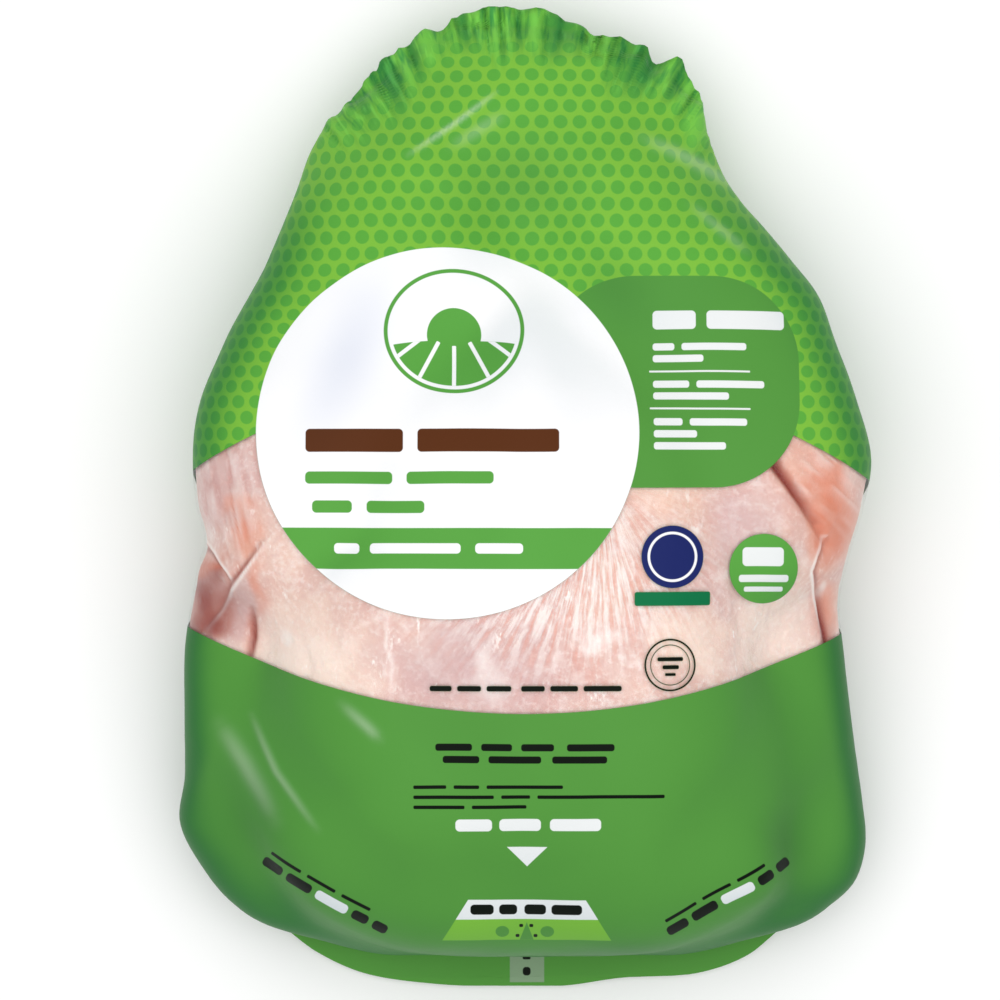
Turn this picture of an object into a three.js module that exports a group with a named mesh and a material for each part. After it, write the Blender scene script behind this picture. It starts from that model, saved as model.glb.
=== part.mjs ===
// A whole raw chicken of about 1.8 kg in a sealed shrink bag, lying on its back with the breast up.
// The solid is the outside of the tight bag: the film follows the breast, legs and wings, bridges
// the hollows between them, ends in a gathered mouth past the legs and in a flat seal past the neck.
// +Z is up, +Y runs from the neck to the legs, and the origin is under the middle of the bag.

import * as THREE from "three";

// Driving dimensions, in millimetres.
const LENGTH = 272;
const WIDTH = 190;
const HEIGHT = 98;
const FILM_GAP = 1.2; // the film stands this far off the skin
const FILM_BRIDGE = 17; // reach over which the tight film rounds off a hollow between two parts
const FLOOR_ROUNDING = 7; // how softly the sides turn into the flat underside

// Flat ends of the bag: height of the middle, half thickness, how far from the bag's middle the rings
// begin to close on that height and have closed, and what rounds the step from the bag's body.
const MOUTH = { z: 24, halfThickness: 5, from: 88, full: 116, bridge: 10 };
const SEAL = { z: 5, halfThickness: 1.2, from: 96, full: 120, bridge: 3 };
const END_ROUNDING = 3.5;

// Gathers of the bag's mouth, fanned out around a point between the legs.
const GATHER_CENTRE_Y = 36;
const GATHER_START = 62; // distances from that point, where the gathers fade in
const GATHER_FULL = 92;
const GATHER_DEPTH = 1.7;
const GATHER_PITCH = 10.5;

// Facets: rings across the bag, and points around each ring.
const RINGS = 62;
const SPOKES = 84;
const PROFILE_SAMPLES = 900;
const RING_WEIGHTS = new THREE.Vector3(0.5, 1, 0.7); // how much a change of width, place and height counts

// The bag's outline seen from above, clockwise from the top of the mouth, as X and Y.
const OUTLINE = [
  [-5, 136], [3, 134.6], [12, 132.4], [20, 129], [30, 125.6], [36, 122.4], [43, 120], [48.5, 113],
  [50, 105], [54, 93.5], [60, 82.5], [72, 68.5], [81, 56], [86, 43], [91, 28], [95, 11], [93, -2],
  [89, -16], [87, -28], [88.5, -44], [91, -64], [94, -83], [95, -95], [92, -105.5], [84, -113],
  [73, -119.5], [63, -127.5], [49, -132.4], [28, -133.6], [12, -135.8], [-4, -136], [-24, -135.4],
  [-44, -132.4], [-57, -126.6], [-68, -118.5], [-80, -111.5], [-88, -102], [-94.5, -89], [-93, -76],
  [-92.7, -58], [-92.4, -40], [-89, -20], [-86.6, -11], [-89, -1], [-89.7, 12], [-87.7, 27],
  [-80, 46], [-71, 63], [-63, 82], [-58, 97], [-50, 108.5], [-42, 117.6], [-34, 124.4],
  [-27, 128.8], [-19, 131.4], [-13, 134.8],
];

const mirrored = ([x, y, z]) => [-x, y, z];

// Rounded lump with half sizes along X, Y and Z.
const lump = (centre, half) => ({ centre, half });

// Limb between two joints, thick at one end and thin at the other.
const limb = (from, fromRadius, to, toRadius) => ({ from, fromRadius, to, toRadius });

// A part of one side of the bird and its mirror image.
function pair(part) {
  const other = { ...part };
  for (const key of ["centre", "from", "to"]) {
    if (part[key]) other[key] = mirrored(part[key]);
  }
  return [part, other];
}

const KNEE = [65, -1, 45];
const ELBOW = [77, -40, 33];
const WRIST = [80, -88, 25];

const BIRD = [
  lump([0, -30, 48], [24, 80, HEIGHT - 50]), // keel
  ...pair(lump([25, -36, 45], [47, 82, HEIGHT - 50])), // breast halves
  lump([0, -6, 28], [62, 106, 34]), // back and ribs
  limb([-34, -96, 40], 22, [34, -96, 40], 22), // upper edge of the neck end
  limb([-38, -96, 22], 22, [38, -96, 22], 22), // lower edge of the neck end
  lump([0, 95, 27], [26, 22, 17]), // tail
  ...pair(limb([42, 54, 33], 31, KNEE, 27)), // thigh
  ...pair(limb(KNEE, 27, [22, 84, 40], 12)), // drumstick
  ...pair(limb([55, -90, 44], 20, ELBOW, 14)), // upper wing
  ...pair(limb(ELBOW, 13, WRIST, 13)), // lower wing
];

// Film that stands off the bird: towards the mouth, in the corners beside the neck and over the seal.
const SPARE_FILM = [
  lump([0, 97, 25], [50, 33, 18]),
  ...pair(lump([68, -94, 20], [27, 25, 17])),
  ...pair(lump([40, -104, 13], [24, 19, 13])),
  lump([0, -103, 12], [30, 20, 12]),
];

function lumpDistance(part, x, y, z) {
  const [a, b, c] = part.half;
  const dx = (x - part.centre[0]) / a;
  const dy = (y - part.centre[1]) / b;
  const dz = (z - part.centre[2]) / c;
  const reach = Math.hypot(dx, dy, dz);
  return (reach * (reach - 1)) / Math.max(Math.hypot(dx / a, dy / b, dz / c), 1e-9);
}

function limbDistance(part, x, y, z) {
  const along = part.to.map((value, axis) => value - part.from[axis]);
  const away = [x, y, z].map((value, axis) => value - part.from[axis]);
  const dot = (u, v) => u[0] * v[0] + u[1] * v[1] + u[2] * v[2];
  const share = THREE.MathUtils.clamp(dot(away, along) / dot(along, along), 0, 1);
  const radius = THREE.MathUtils.lerp(part.fromRadius, part.toRadius, share);
  return Math.hypot(...away.map((value, axis) => value - along[axis] * share)) - radius;
}

// Union of two distances, rounded off over the given reach.
function blend(a, b, reach) {
  const overlap = Math.max(reach - Math.abs(a - b), 0) / reach;
  return Math.min(a, b) - (overlap * overlap * reach) / 4;
}

// The farther of two reaches, with the step between them rounded off.
function farther(a, b, reach) {
  return a <= 0 || b <= 0 ? Math.max(a, b) : -blend(-a, -b, reach);
}

// Distance from the tight film, negative inside it.
function filmDistance(x, y, z) {
  let distance = Infinity;
  for (const part of BIRD) {
    const own = part.half ? lumpDistance(part, x, y, z) : limbDistance(part, x, y, z);
    distance = distance === Infinity ? own : blend(distance, own, FILM_BRIDGE);
  }
  distance -= FILM_GAP;
  for (const part of SPARE_FILM) {
    distance = blend(distance, lumpDistance(part, x, y, z), FILM_BRIDGE);
  }
  return -blend(-distance, z, FLOOR_ROUNDING);
}

// First point of the film met on the way from far outside to an inner point of the same ring.
function filmPoint(y, centreZ, dirX, dirZ) {
  let away = 150;
  for (let step = 0; step < 200 && away > 0; step += 1) {
    const gap = filmDistance(away * dirX, y, centreZ + away * dirZ);
    if (gap < 0.01) break;
    away -= gap * 0.6;
  }
  return Math.max(away, 0);
}

const outline = new THREE.CatmullRomCurve3(
  OUTLINE.map(([x, y]) => new THREE.Vector3(x, y, 0)),
  true,
  "centripetal",
).getPoints(OUTLINE.length * 24);

// Left and right edge of the outline at a given Y.
function edgesAt(y) {
  const crossings = [];
  outline.slice(1).forEach((to, i) => {
    const from = outline[i];
    if (from.y <= y !== to.y <= y) {
      crossings.push(THREE.MathUtils.mapLinear(y, from.y, to.y, from.x, to.x));
    }
  });
  return [Math.min(...crossings), Math.max(...crossings)];
}

// Depth of the gathers at a point of the film, positive outwards.
function gatherDepth(x, y) {
  const reach = Math.hypot(x, y - GATHER_CENTRE_Y);
  const fade = y > GATHER_CENTRE_Y ? THREE.MathUtils.smoothstep(reach, GATHER_START, GATHER_FULL) : 0;
  const around = Math.atan2(x, y - GATHER_CENTRE_Y) * GATHER_FULL;
  const wave = Math.sin((2 * Math.PI * around) / GATHER_PITCH + 1.3 * Math.sin(around / 9));
  return GATHER_DEPTH * fade * wave;
}

// Height of the film over the ring's middle line, found from above.
function topHeight(y) {
  return filmPoint(y, 0, 0, 1);
}

// The flat end that a ring belongs to, how far it has closed on it, and its half thickness there.
function endAt(y) {
  const end = y > 0 ? MOUTH : SEAL;
  const closed = THREE.MathUtils.smoothstep(Math.abs(y), end.from, end.full);
  const over = Math.max(Math.abs(y) - (LENGTH / 2 - END_ROUNDING), 0) / END_ROUNDING;
  return { ...end, closed, halfThickness: end.halfThickness * Math.sqrt(1 - over * over) };
}

// One ring of points around the bag at a given Y, from the right edge over the top.
function ringAt(y) {
  const [left, right] = edgesAt(y);
  const end = endAt(y);
  const top = Math.max(topHeight(y), 2 * end.z);
  const centreZ = THREE.MathUtils.lerp(0.45 * top, end.z, end.closed);
  const halfWidth = (right - left) / 2;
  const points = [];
  for (let spoke = 0; spoke < SPOKES; spoke += 1) {
    const angle = (2 * Math.PI * spoke) / SPOKES;
    const rise = Math.sin(angle) > 0 ? top - centreZ : centreZ;
    const direction = new THREE.Vector2(halfWidth * Math.cos(angle), rise * Math.sin(angle)).normalize();
    const body = filmPoint(y, centreZ, direction.x, direction.y);
    const flat = end.closed / Math.hypot(direction.x / halfWidth, direction.y / end.halfThickness);
    const away = farther(body, flat, end.bridge);
    points.push(new THREE.Vector3(away * direction.x, y, centreZ + away * direction.y));
  }
  const rawRight = Math.max(...points.map((p) => p.x));
  const rawLeft = Math.min(...points.map((p) => p.x));
  for (const p of points) {
    p.x = THREE.MathUtils.mapLinear(p.x, rawLeft, rawRight, left, right);
    p.z += gatherDepth(p.x, y) * THREE.MathUtils.smoothstep(p.z, 0, 8);
    p.z = Math.max(p.z, 0);
  }
  return points;
}

// Ring places, spaced evenly along the bag's own curve so that they bunch up on its steep ends.
function ringPlaces() {
  const samples = [];
  let travelled = 0;
  let before = null;
  for (let i = 1; i < PROFILE_SAMPLES; i += 1) {
    const y = LENGTH * (i / PROFILE_SAMPLES - 0.5);
    const [left, right] = edgesAt(y);
    const here = new THREE.Vector3((right - left) / 2, y, topHeight(y));
    const step = before ? here.clone().sub(before).multiply(RING_WEIGHTS) : new THREE.Vector3();
    travelled += step.length();
    samples.push({ y, travelled });
    before = here;
  }
  const places = [samples[0].y];
  samples.slice(1).forEach((to, i) => {
    const from = samples[i];
    for (;;) {
      const wanted = (places.length * travelled) / (RINGS - 1);
      if (wanted > to.travelled) break;
      places.push(THREE.MathUtils.mapLinear(wanted, from.travelled, to.travelled, from.y, to.y));
    }
  });
  return places;
}

function bagGeometry() {
  const rings = ringPlaces().map(ringAt);
  const endPoint = (ring, y) => {
    const middle = ring.reduce((sum, p) => sum.add(p), new THREE.Vector3());
    return middle.divideScalar(ring.length).setY(y);
  };
  const first = endPoint(rings[0], -LENGTH / 2);
  const last = endPoint(rings[rings.length - 1], LENGTH / 2);
  const vertices = [first, ...rings.flat(), last];
  const at = (ring, spoke) => 1 + ring * SPOKES + (spoke % SPOKES);
  const faces = [];
  for (let spoke = 0; spoke < SPOKES; spoke += 1) {
    faces.push(0, at(0, spoke), at(0, spoke + 1));
    for (let ring = 0; ring < rings.length - 1; ring += 1) {
      const corners = [at(ring, spoke), at(ring + 1, spoke), at(ring + 1, spoke + 1), at(ring, spoke + 1)];
      faces.push(corners[0], corners[1], corners[2], corners[0], corners[2], corners[3]);
    }
    faces.push(vertices.length - 1, at(rings.length - 1, spoke + 1), at(rings.length - 1, spoke));
  }
  const geometry = new THREE.BufferGeometry().setFromPoints(vertices);
  geometry.setIndex(faces);
  return geometry;
}

// Brings the bag to its exact overall size, centred over the origin with its underside at Z = 0.
function fitted(geometry) {
  geometry.computeBoundingBox();
  const size = geometry.boundingBox.getSize(new THREE.Vector3());
  const middle = geometry.boundingBox.getCenter(new THREE.Vector3());
  geometry.translate(-middle.x, -middle.y, -geometry.boundingBox.min.z);
  geometry.scale(WIDTH / size.x, LENGTH / size.y, HEIGHT / size.z);
  geometry.computeVertexNormals();
  return geometry;
}

const film = new THREE.MeshStandardMaterial({ color: 0x59a345, roughness: 0.35, metalness: 0 });
const bag = new THREE.Mesh(fitted(bagGeometry()), film);
bag.name = "bagged_chicken";

const part = new THREE.Group();
part.add(bag);

export default part;
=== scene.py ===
import functools
import math

import bpy
import numpy as np
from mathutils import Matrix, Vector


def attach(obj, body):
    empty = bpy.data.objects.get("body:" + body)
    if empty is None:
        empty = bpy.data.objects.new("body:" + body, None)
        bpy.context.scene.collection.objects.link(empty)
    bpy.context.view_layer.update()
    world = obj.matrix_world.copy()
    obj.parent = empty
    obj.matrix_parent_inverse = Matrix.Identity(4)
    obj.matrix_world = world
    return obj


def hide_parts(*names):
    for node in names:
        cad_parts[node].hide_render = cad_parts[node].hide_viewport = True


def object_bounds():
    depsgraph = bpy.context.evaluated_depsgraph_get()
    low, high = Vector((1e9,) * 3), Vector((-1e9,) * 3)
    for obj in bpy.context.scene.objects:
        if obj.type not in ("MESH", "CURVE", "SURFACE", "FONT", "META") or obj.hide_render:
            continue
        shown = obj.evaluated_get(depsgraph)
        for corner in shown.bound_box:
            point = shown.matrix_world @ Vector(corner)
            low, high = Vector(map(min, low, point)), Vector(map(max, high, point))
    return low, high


MM = 0.001

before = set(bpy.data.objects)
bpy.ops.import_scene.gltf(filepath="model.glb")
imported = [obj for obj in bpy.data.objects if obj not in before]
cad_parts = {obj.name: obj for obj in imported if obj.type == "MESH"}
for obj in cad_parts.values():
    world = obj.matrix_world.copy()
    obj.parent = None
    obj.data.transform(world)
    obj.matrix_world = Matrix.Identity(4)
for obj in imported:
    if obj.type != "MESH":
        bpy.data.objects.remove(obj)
CAD_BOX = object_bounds()
LENGTH = (CAD_BOX[1][1] - CAD_BOX[0][1]) / MM
HEIGHT = (CAD_BOX[1][2] - CAD_BOX[0][2]) / MM

# The bird and its bag, in the same measures as the part's solid.
FILM_GAP = 1.2
FILM_BRIDGE = 17
FLOOR_ROUNDING = 7
MOUTH = {"z": 24, "half": 5, "from": 88, "full": 116, "bridge": 10}
SEAL = {"z": 5, "half": 1.2}
END_ROUNDING = 3.5
GATHER_CENTRE_Y = 36

OUTLINE = [
    (-5, 136), (3, 134.6), (12, 132.4), (20, 129), (30, 125.6), (36, 122.4), (43, 120), (48.5, 113),
    (50, 105), (54, 93.5), (60, 82.5), (72, 68.5), (81, 56), (86, 43), (91, 28), (95, 11), (93, -2),
    (89, -16), (87, -28), (88.5, -44), (91, -64), (94, -83), (95, -95), (92, -105.5), (84, -113),
    (73, -119.5), (63, -127.5), (49, -132.4), (28, -133.6), (12, -135.8), (-4, -136), (-24, -135.4),
    (-44, -132.4), (-57, -126.6), (-68, -118.5), (-80, -111.5), (-88, -102), (-94.5, -89), (-93, -76),
    (-92.7, -58), (-92.4, -40), (-89, -20), (-86.6, -11), (-89, -1), (-89.7, 12), (-87.7, 27),
    (-80, 46), (-71, 63), (-63, 82), (-58, 97), (-50, 108.5), (-42, 117.6), (-34, 124.4),
    (-27, 128.8), (-19, 131.4), (-13, 134.8),
]


MIRROR = np.array([-1, 1, 1])


def lump(centre, half):
    return {"centre": np.array(centre, float), "half": np.array(half, float)}


def limb(start, start_radius, end, end_radius):
    return {"start": np.array(start, float), "end": np.array(end, float), "radii": (start_radius, end_radius)}


def pair(part):
    """A part of one side of the bird and its mirror image."""
    mirrored = {key: part[key] * MIRROR for key in ("centre", "start", "end") if key in part}
    return [part, {**part, **mirrored}]


KNEE = (65, -1, 45)
ELBOW = (77, -40, 33)
WRIST = (80, -88, 25)
TORSO = [
    lump((0, -30, 48), (24, 80, HEIGHT - 50)),
    *pair(lump((25, -36, 45), (47, 82, HEIGHT - 50))),
    lump((0, -6, 28), (62, 106, 34)),
    limb((-34, -96, 40), 22, (34, -96, 40), 22),
    limb((-38, -96, 22), 22, (38, -96, 22), 22),
    lump((0, 95, 27), (26, 22, 17)),
]
LEGS = [*pair(limb((42, 54, 33), 31, KNEE, 27)), *pair(limb(KNEE, 27, (22, 84, 40), 12))]
WINGS = [*pair(limb((55, -90, 44), 20, ELBOW, 14)), *pair(limb(ELBOW, 13, WRIST, 13))]
SPARE_FILM = [
    lump((0, 97, 25), (50, 33, 18)),
    *pair(lump((68, -94, 20), (27, 25, 17))),
    *pair(lump((40, -104, 13), (24, 19, 13))),
    lump((0, -103, 12), (30, 20, 12)),
]


# Distances, for whole arrays of points at once.
def length(vectors):
    return np.sqrt((vectors**2).sum(axis=-1))


def part_distance(part, points):
    if "half" in part:
        offset = (points - part["centre"]) / part["half"]
        reach = length(offset)
        return reach * (reach - 1) / np.maximum(length(offset / part["half"]), 1e-9)
    along = part["end"] - part["start"]
    away = points - part["start"]
    share = np.clip(away @ along / (along @ along), 0, 1)
    radius = part["radii"][0] + share * (part["radii"][1] - part["radii"][0])
    return length(away - share[..., None] * along) - radius


def blend(a, b, reach):
    """Union of two distances, rounded off over the given reach."""
    overlap = np.maximum(reach - np.abs(a - b), 0) / reach
    return np.minimum(a, b) - overlap**2 * reach / 4


def union(parts, points, reach, start=None):
    total = start
    for part in parts:
        own = part_distance(part, points)
        total = own if total is None else blend(total, own, reach)
    return total


def film_distance(points):
    """Distance from the tight film, which bridges the hollows between the bird's parts."""
    body = union(TORSO + LEGS + WINGS, points, FILM_BRIDGE) - FILM_GAP
    body = union(SPARE_FILM, points, FILM_BRIDGE, body)
    return -blend(-body, points[..., 2], FLOOR_ROUNDING)


SKIN_GAP = 0.5  # the skin lies this far inside the film
SKIN_FLOOR = 0.7


def skin_distance(points):
    """Distance from the bird itself, pressed into one smooth body by the tight film."""
    body = union(TORSO + LEGS + WINGS, points, FILM_BRIDGE) - FILM_GAP + SKIN_GAP
    return -blend(-body, points[..., 2] - SKIN_FLOOR, FLOOR_ROUNDING)


MARCH_STEPS, MARCH_SHARE = 70, 0.6
FAR, NEAR = 150, 0.01  # where each march starts, and how close to the surface it stops


def march(distance, origin, direction):
    """How far along each direction the surface is met, coming in from outside; 0 where it isn't met."""
    origin, direction = np.broadcast_arrays(origin, direction)
    shape = origin.shape[:-1]
    origin, direction = origin.reshape(-1, 3), direction.reshape(-1, 3)
    away = np.full(len(origin), float(FAR))
    active = np.arange(len(away))
    for _ in range(MARCH_STEPS):
        reach = away[active]
        gap = distance(origin[active] + reach[:, None] * direction[active])
        outside = gap > NEAR
        away[active] = np.where(outside, np.maximum(reach - MARCH_SHARE * gap, 0), reach)
        active = active[outside & (away[active] > 0)]
        if not len(active):
            break
    return away.reshape(shape)


def vectors(x, y, z):
    return np.stack(np.broadcast_arrays(x, y, z), axis=-1).astype(float)


def top_height(places):
    return march(film_distance, vectors(0, places, 0), vectors(0, 0, 1))


def ease(share):
    return share * share * (3 - 2 * share)


def smoothstep(value, low, high):
    return ease(np.clip((value - low) / (high - low), 0, 1))


OUTLINE_STEPS = 24  # points of the dense curve between two points of the outline


def outline_curve():
    """The outline as a dense closed centripetal spline."""
    points = np.array(OUTLINE, float)
    dense = []
    for i in range(len(points)):
        near = [points[(i + k - 1) % len(points)] for k in range(4)]
        knots = np.cumsum([0, *(np.linalg.norm(b - a) ** 0.5 for a, b in zip(near, near[1:]))])

        def between(ends, t, low, high):
            return (ends[0] * (knots[high] - t) + ends[1] * (t - knots[low])) / (knots[high] - knots[low])

        for t in np.linspace(knots[1], knots[2], OUTLINE_STEPS, endpoint=False):
            lines = [between(near[k:k + 2], t, k, k + 1) for k in range(3)]
            bends = [between(lines[k:k + 2], t, k, k + 2) for k in range(2)]
            dense.append(between(bends, t, 1, 2))
    return np.array(dense)


CURVE = outline_curve()


def bell(value):
    return np.exp(-(value**2))


def split(grid):
    """The X, Y and Z of every point of a grid."""
    return grid[..., 0], grid[..., 1], grid[..., 2]


def edges_at(places):
    """Left and right edge of the outline at each Y."""
    left = np.full(len(places), np.inf)
    right = np.full(len(places), -np.inf)
    for (x0, y0), (x1, y1) in zip(CURVE, np.roll(CURVE, -1, axis=0)):
        if y0 == y1:
            continue
        crossed = (y0 <= places) != (y1 <= places)
        x = x0 + (places - y0) / (y1 - y0) * (x1 - x0)
        left = np.where(crossed, np.minimum(left, x), left)
        right = np.where(crossed, np.maximum(right, x), right)
    return left, right


def noise_1d(seed, count=512):
    table = np.random.default_rng(seed).random(count)

    def sample(value):
        low = np.floor(value).astype(int)
        t = ease(value - low)
        return table[low % count] * (1 - t) + table[(low + 1) % count] * t

    return sample


def noise_2d(seed, count=64):
    table = np.random.default_rng(seed).random((count, count))

    def sample(x, y):
        ix, iy = np.floor(x).astype(int), np.floor(y).astype(int)
        tx, ty = ease(x - ix), ease(y - iy)

        def row(j):
            return table[ix % count, j % count] * (1 - tx) + table[(ix + 1) % count, j % count] * tx

        return row(iy) * (1 - ty) + row(iy + 1) * ty

    return sample


def waves(noise, x, y, rows):
    """A sum of waves of noise, each as its runs, its place in the noise and its height."""
    return sum(height * noise(x / run[0] + start[0], y / run[1] + start[1]) for run, start, height in rows)


def ripples(noise, place, rows):
    """A sum of waves along a line, each as its run, its place in the noise and its height."""
    return sum(height * (noise(place / run + start) - 0.5) for run, start, height in rows)


def line_distance(x, y, points):
    """Distance in plan from a line through points, positive to its left, and the share of it covered."""
    nearest = np.full(x.shape, np.inf)
    side, share = np.ones(x.shape), np.zeros(x.shape)
    steps = len(points) - 1
    for i in range(steps):
        a, b = complex(*points[i]), complex(*points[i + 1])
        local = (x + 1j * y - a) / (b - a)
        t = np.clip(local.real, 0, 1)
        gap = np.abs((local - t) * (b - a))
        closer = gap < nearest
        share = np.where(closer, (i + t) / steps, share)
        side = np.where(closer, np.sign(local.imag), side)
        nearest = np.minimum(gap, nearest)
    return nearest * side, share


# Rings of points around the body. Each starts at the right edge and runs over the top and back below.
# From the mouth to NECK_Y the rings lie straight across. Past it their spokes fan out from one point.
NECK_Y = -80
PROFILE_SAMPLES = 900
RING_WEIGHTS = (0.5, 1, 0.7)
MOUTH_SOFT = (112, 122)  # places between which the evening out sets in
MOUTH_ROUNDS = 12
FIT_FROM = -112  # nearer the neck the bag keeps its own shape, and only its seal fills the outline
FIT_RINGS, FIT_SPOKES = 240, 60
CENTRE_SHARE = 0.45  # height of the spokes' centre, as a share of the height over it


def spoke_angles(upper, lower):
    return np.concatenate([np.pi * np.arange(upper) / upper, np.pi + np.pi * np.arange(lower) / lower])


def cap_tilts(count):
    """How far the rings around the neck lean, from straight ahead to straight across."""
    return np.linspace(np.pi / 2, 0, count, endpoint=False) - 0.5 * np.pi / 2 / count


def ring_places(count):
    """Places along Y, spaced evenly along the bag's own curve."""
    places = LENGTH * (np.arange(1, PROFILE_SAMPLES) / PROFILE_SAMPLES - 0.5)
    places = places[places >= NECK_Y]
    left, right = edges_at(places)
    top = np.maximum(top_height(places), MOUTH["z"] + MOUTH["half"])
    steps = vectors(np.diff((right - left) / 2), np.diff(places), np.diff(top)) * RING_WEIGHTS
    travelled = np.concatenate([[0], np.cumsum(length(steps))])
    return np.interp(np.linspace(0, travelled[-1], count), travelled, places)


def ring_rays(places, tilts, angles):
    """Where the spokes of every ring start, and their directions."""
    closed = smoothstep(places, MOUTH["from"], MOUTH["full"])
    top = np.maximum(top_height(places), 2 * MOUTH["z"])
    centre_z = (1 - closed) * CENTRE_SHARE * top + closed * MOUTH["z"]
    left, right = edges_at(places)
    rise = np.where(np.sin(angles) > 0, (top - centre_z)[:, None], centre_z[:, None])
    across = ((right - left) / 2)[:, None] * np.cos(angles)
    up = rise * np.sin(angles)
    size = np.hypot(across, up)
    straight = vectors(across / size, 0, up / size)
    lean = tilts[:, None, None]
    cap = straight[:1] * np.cos(lean) + np.array([0, -1, 0]) * np.sin(lean)
    centres = vectors(0, places, centre_z)
    centres = np.concatenate([np.repeat(centres[:1], len(tilts), axis=0), centres])
    return centres[:, None, :], np.concatenate([cap, straight])


def even_out(reach, places):
    """Softens the step where the body of the bag runs out on its flat mouth."""
    share = smoothstep(places[1:-1], *MOUTH_SOFT)[:, None]
    for _ in range(MOUTH_ROUNDS):
        reach[1:-1] += share * ((reach[:-2] + reach[2:]) / 2 - reach[1:-1])
    return reach


def film_grid(places, tilts, angles):
    """The film's rings, with the gathered mouth closing on a flat end."""
    centres, directions = ring_rays(places, tilts, angles)
    away = march(film_distance, centres, directions)
    body, straight = away[len(tilts):], directions[len(tilts):]
    left, right = edges_at(places)
    over = np.maximum(places - (LENGTH / 2 - END_ROUNDING), 0) / END_ROUNDING
    thickness = MOUTH["half"] * np.sqrt(1 - over**2)
    closed = smoothstep(places, MOUTH["from"], MOUTH["full"])
    reach = np.hypot(straight[..., 0] / ((right - left) / 2)[:, None], straight[..., 2] / thickness[:, None])
    flat = closed[:, None] / reach
    joined = -blend(-body, -flat, MOUTH["bridge"])
    joined = np.where((body <= 0) | (flat <= 0), np.maximum(body, flat), joined)
    away[len(tilts):] = even_out(joined, places)
    return centres + away[..., None] * directions


def skin_grid(places, tilts, angles):
    centres, directions = ring_rays(places, tilts, angles)
    return centres + march(skin_distance, centres, directions)[..., None] * directions


def fit_table():
    """What scales the film's height, and places along Y with its own edges and the outline's."""
    places = np.linspace(FIT_FROM, LENGTH / 2 - 0.5, FIT_RINGS)
    grid = film_grid(places, np.zeros(0), spoke_angles(FIT_SPOKES, FIT_SPOKES))
    x = grid[..., 0]
    return HEIGHT / grid[..., 2].max(), places, x.min(axis=1), x.max(axis=1), *edges_at(places)


def fit_size(grid, table):
    """Stretches or narrows the rings a little, so that the bag has its height and its outline."""
    rise, places, *edges = table
    own_left, own_right, left, right = (np.interp(grid[..., 1], places, values) for values in edges)
    x = left + (grid[..., 0] - own_left) / (own_right - own_left) * (right - left)
    return vectors(x, grid[..., 1], grid[..., 2] * rise)


def grid_normals(grid):
    """Outward normals of a closed ring grid."""
    along = np.gradient(grid, axis=0)
    around = np.roll(grid, -1, axis=1) - np.roll(grid, 1, axis=1)
    normal = np.cross(around, along)
    normal /= np.maximum(length(normal), 1e-9)[..., None]
    return -normal if normal[len(grid) // 2, 0, 0] < 0 else normal


def add_object(name, data):
    added = bpy.data.objects.new(name, data)
    bpy.context.scene.collection.objects.link(added)
    return added


def ring_mesh(name, grid, attributes):
    """A closed mesh from a ring grid, with a fan at each end, and its point attributes."""
    rings, spokes = grid.shape[:2]
    poles = [grid[0].mean(axis=0), grid[-1].mean(axis=0)]
    vertices = np.concatenate([grid.reshape(-1, 3), poles]) * MM
    ring = np.arange(rings - 1)[:, None] * spokes
    spoke = np.arange(spokes)[None, :]
    after = (spoke + 1) % spokes
    quads = np.stack([ring + spoke, ring + spokes + spoke, ring + spokes + after, ring + after], axis=-1)
    faces = quads.reshape(-1, 4).tolist()
    last = (rings - 1) * spokes
    for i in range(spokes):
        j = (i + 1) % spokes
        faces.append((rings * spokes, i, j))
        faces.append((rings * spokes + 1, last + j, last + i))
    mesh = bpy.data.meshes.new(name)
    mesh.from_pydata(vertices.tolist(), [], faces)
    for key, values in attributes.items():
        ends = [values[0].mean(axis=0), values[-1].mean(axis=0)]
        data = mesh.attributes.new(key, "FLOAT_VECTOR", "POINT")
        points = np.concatenate([values.reshape(-1, 3), ends]).astype(np.float32)
        data.data.foreach_set("vector", points.ravel())
    mesh.polygons.foreach_set("use_smooth", [True] * len(mesh.polygons))
    return add_object(name, mesh)


# Relief that the film and the skin below it share.
WAVE_NOISE = noise_2d(14)
WAVES = [((17, 21), (9, 5), 0.9), ((7, 9), (30, 40), 0.25)]  # runs, place in the noise, height
WAVE_SINK = 0.775
# Where the relief sets in: height over the floor, sine of the spoke's angle, and width of the ring.
RELIEF_FADES = ((3, 12), (-0.05, 0.25), (8, 40))
# Soft hollows of the tight film: centre, half sizes, how far they are turned, depth and painted shade.
HOLLOWS = [
    ((-1, 86), (17, 14), 0, 0.9, 0.9),
    ((-71, -82), (4, 10), 20, 0.5, 0.5),
    ((-80, -88), (10, 14), 25, 0.4, 0.55),
    ((73, -93), (8, 12), 5, 0.7, 0.75),
    ((72, -74), (6, 22), 3, 0.5, 0.4),
    ((-47, 38), (9, 24), -24, 0.4, 0.75),
    ((24, 58), (8, 12), 30, 0.3, 0.5),
    ((-30, -100), (22, 9), 0, 0.2, 0.18),
]


def hollow_fields(x, y):
    """Depth and painted shade of the hollows at points in plan."""
    depth, shade = np.zeros(x.shape), np.zeros(x.shape)
    for centre, half, turn, sink, tone in HOLLOWS:
        local = (x + 1j * y - complex(*centre)) * np.exp(-1j * math.radians(turn))
        profile = bell(np.hypot(local.real / half[0], local.imag / half[1]))
        depth += sink * profile
        # The painted shade is darkest in the middle of a hollow.
        shade = np.maximum(shade, tone * profile)
    return depth, shade


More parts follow.
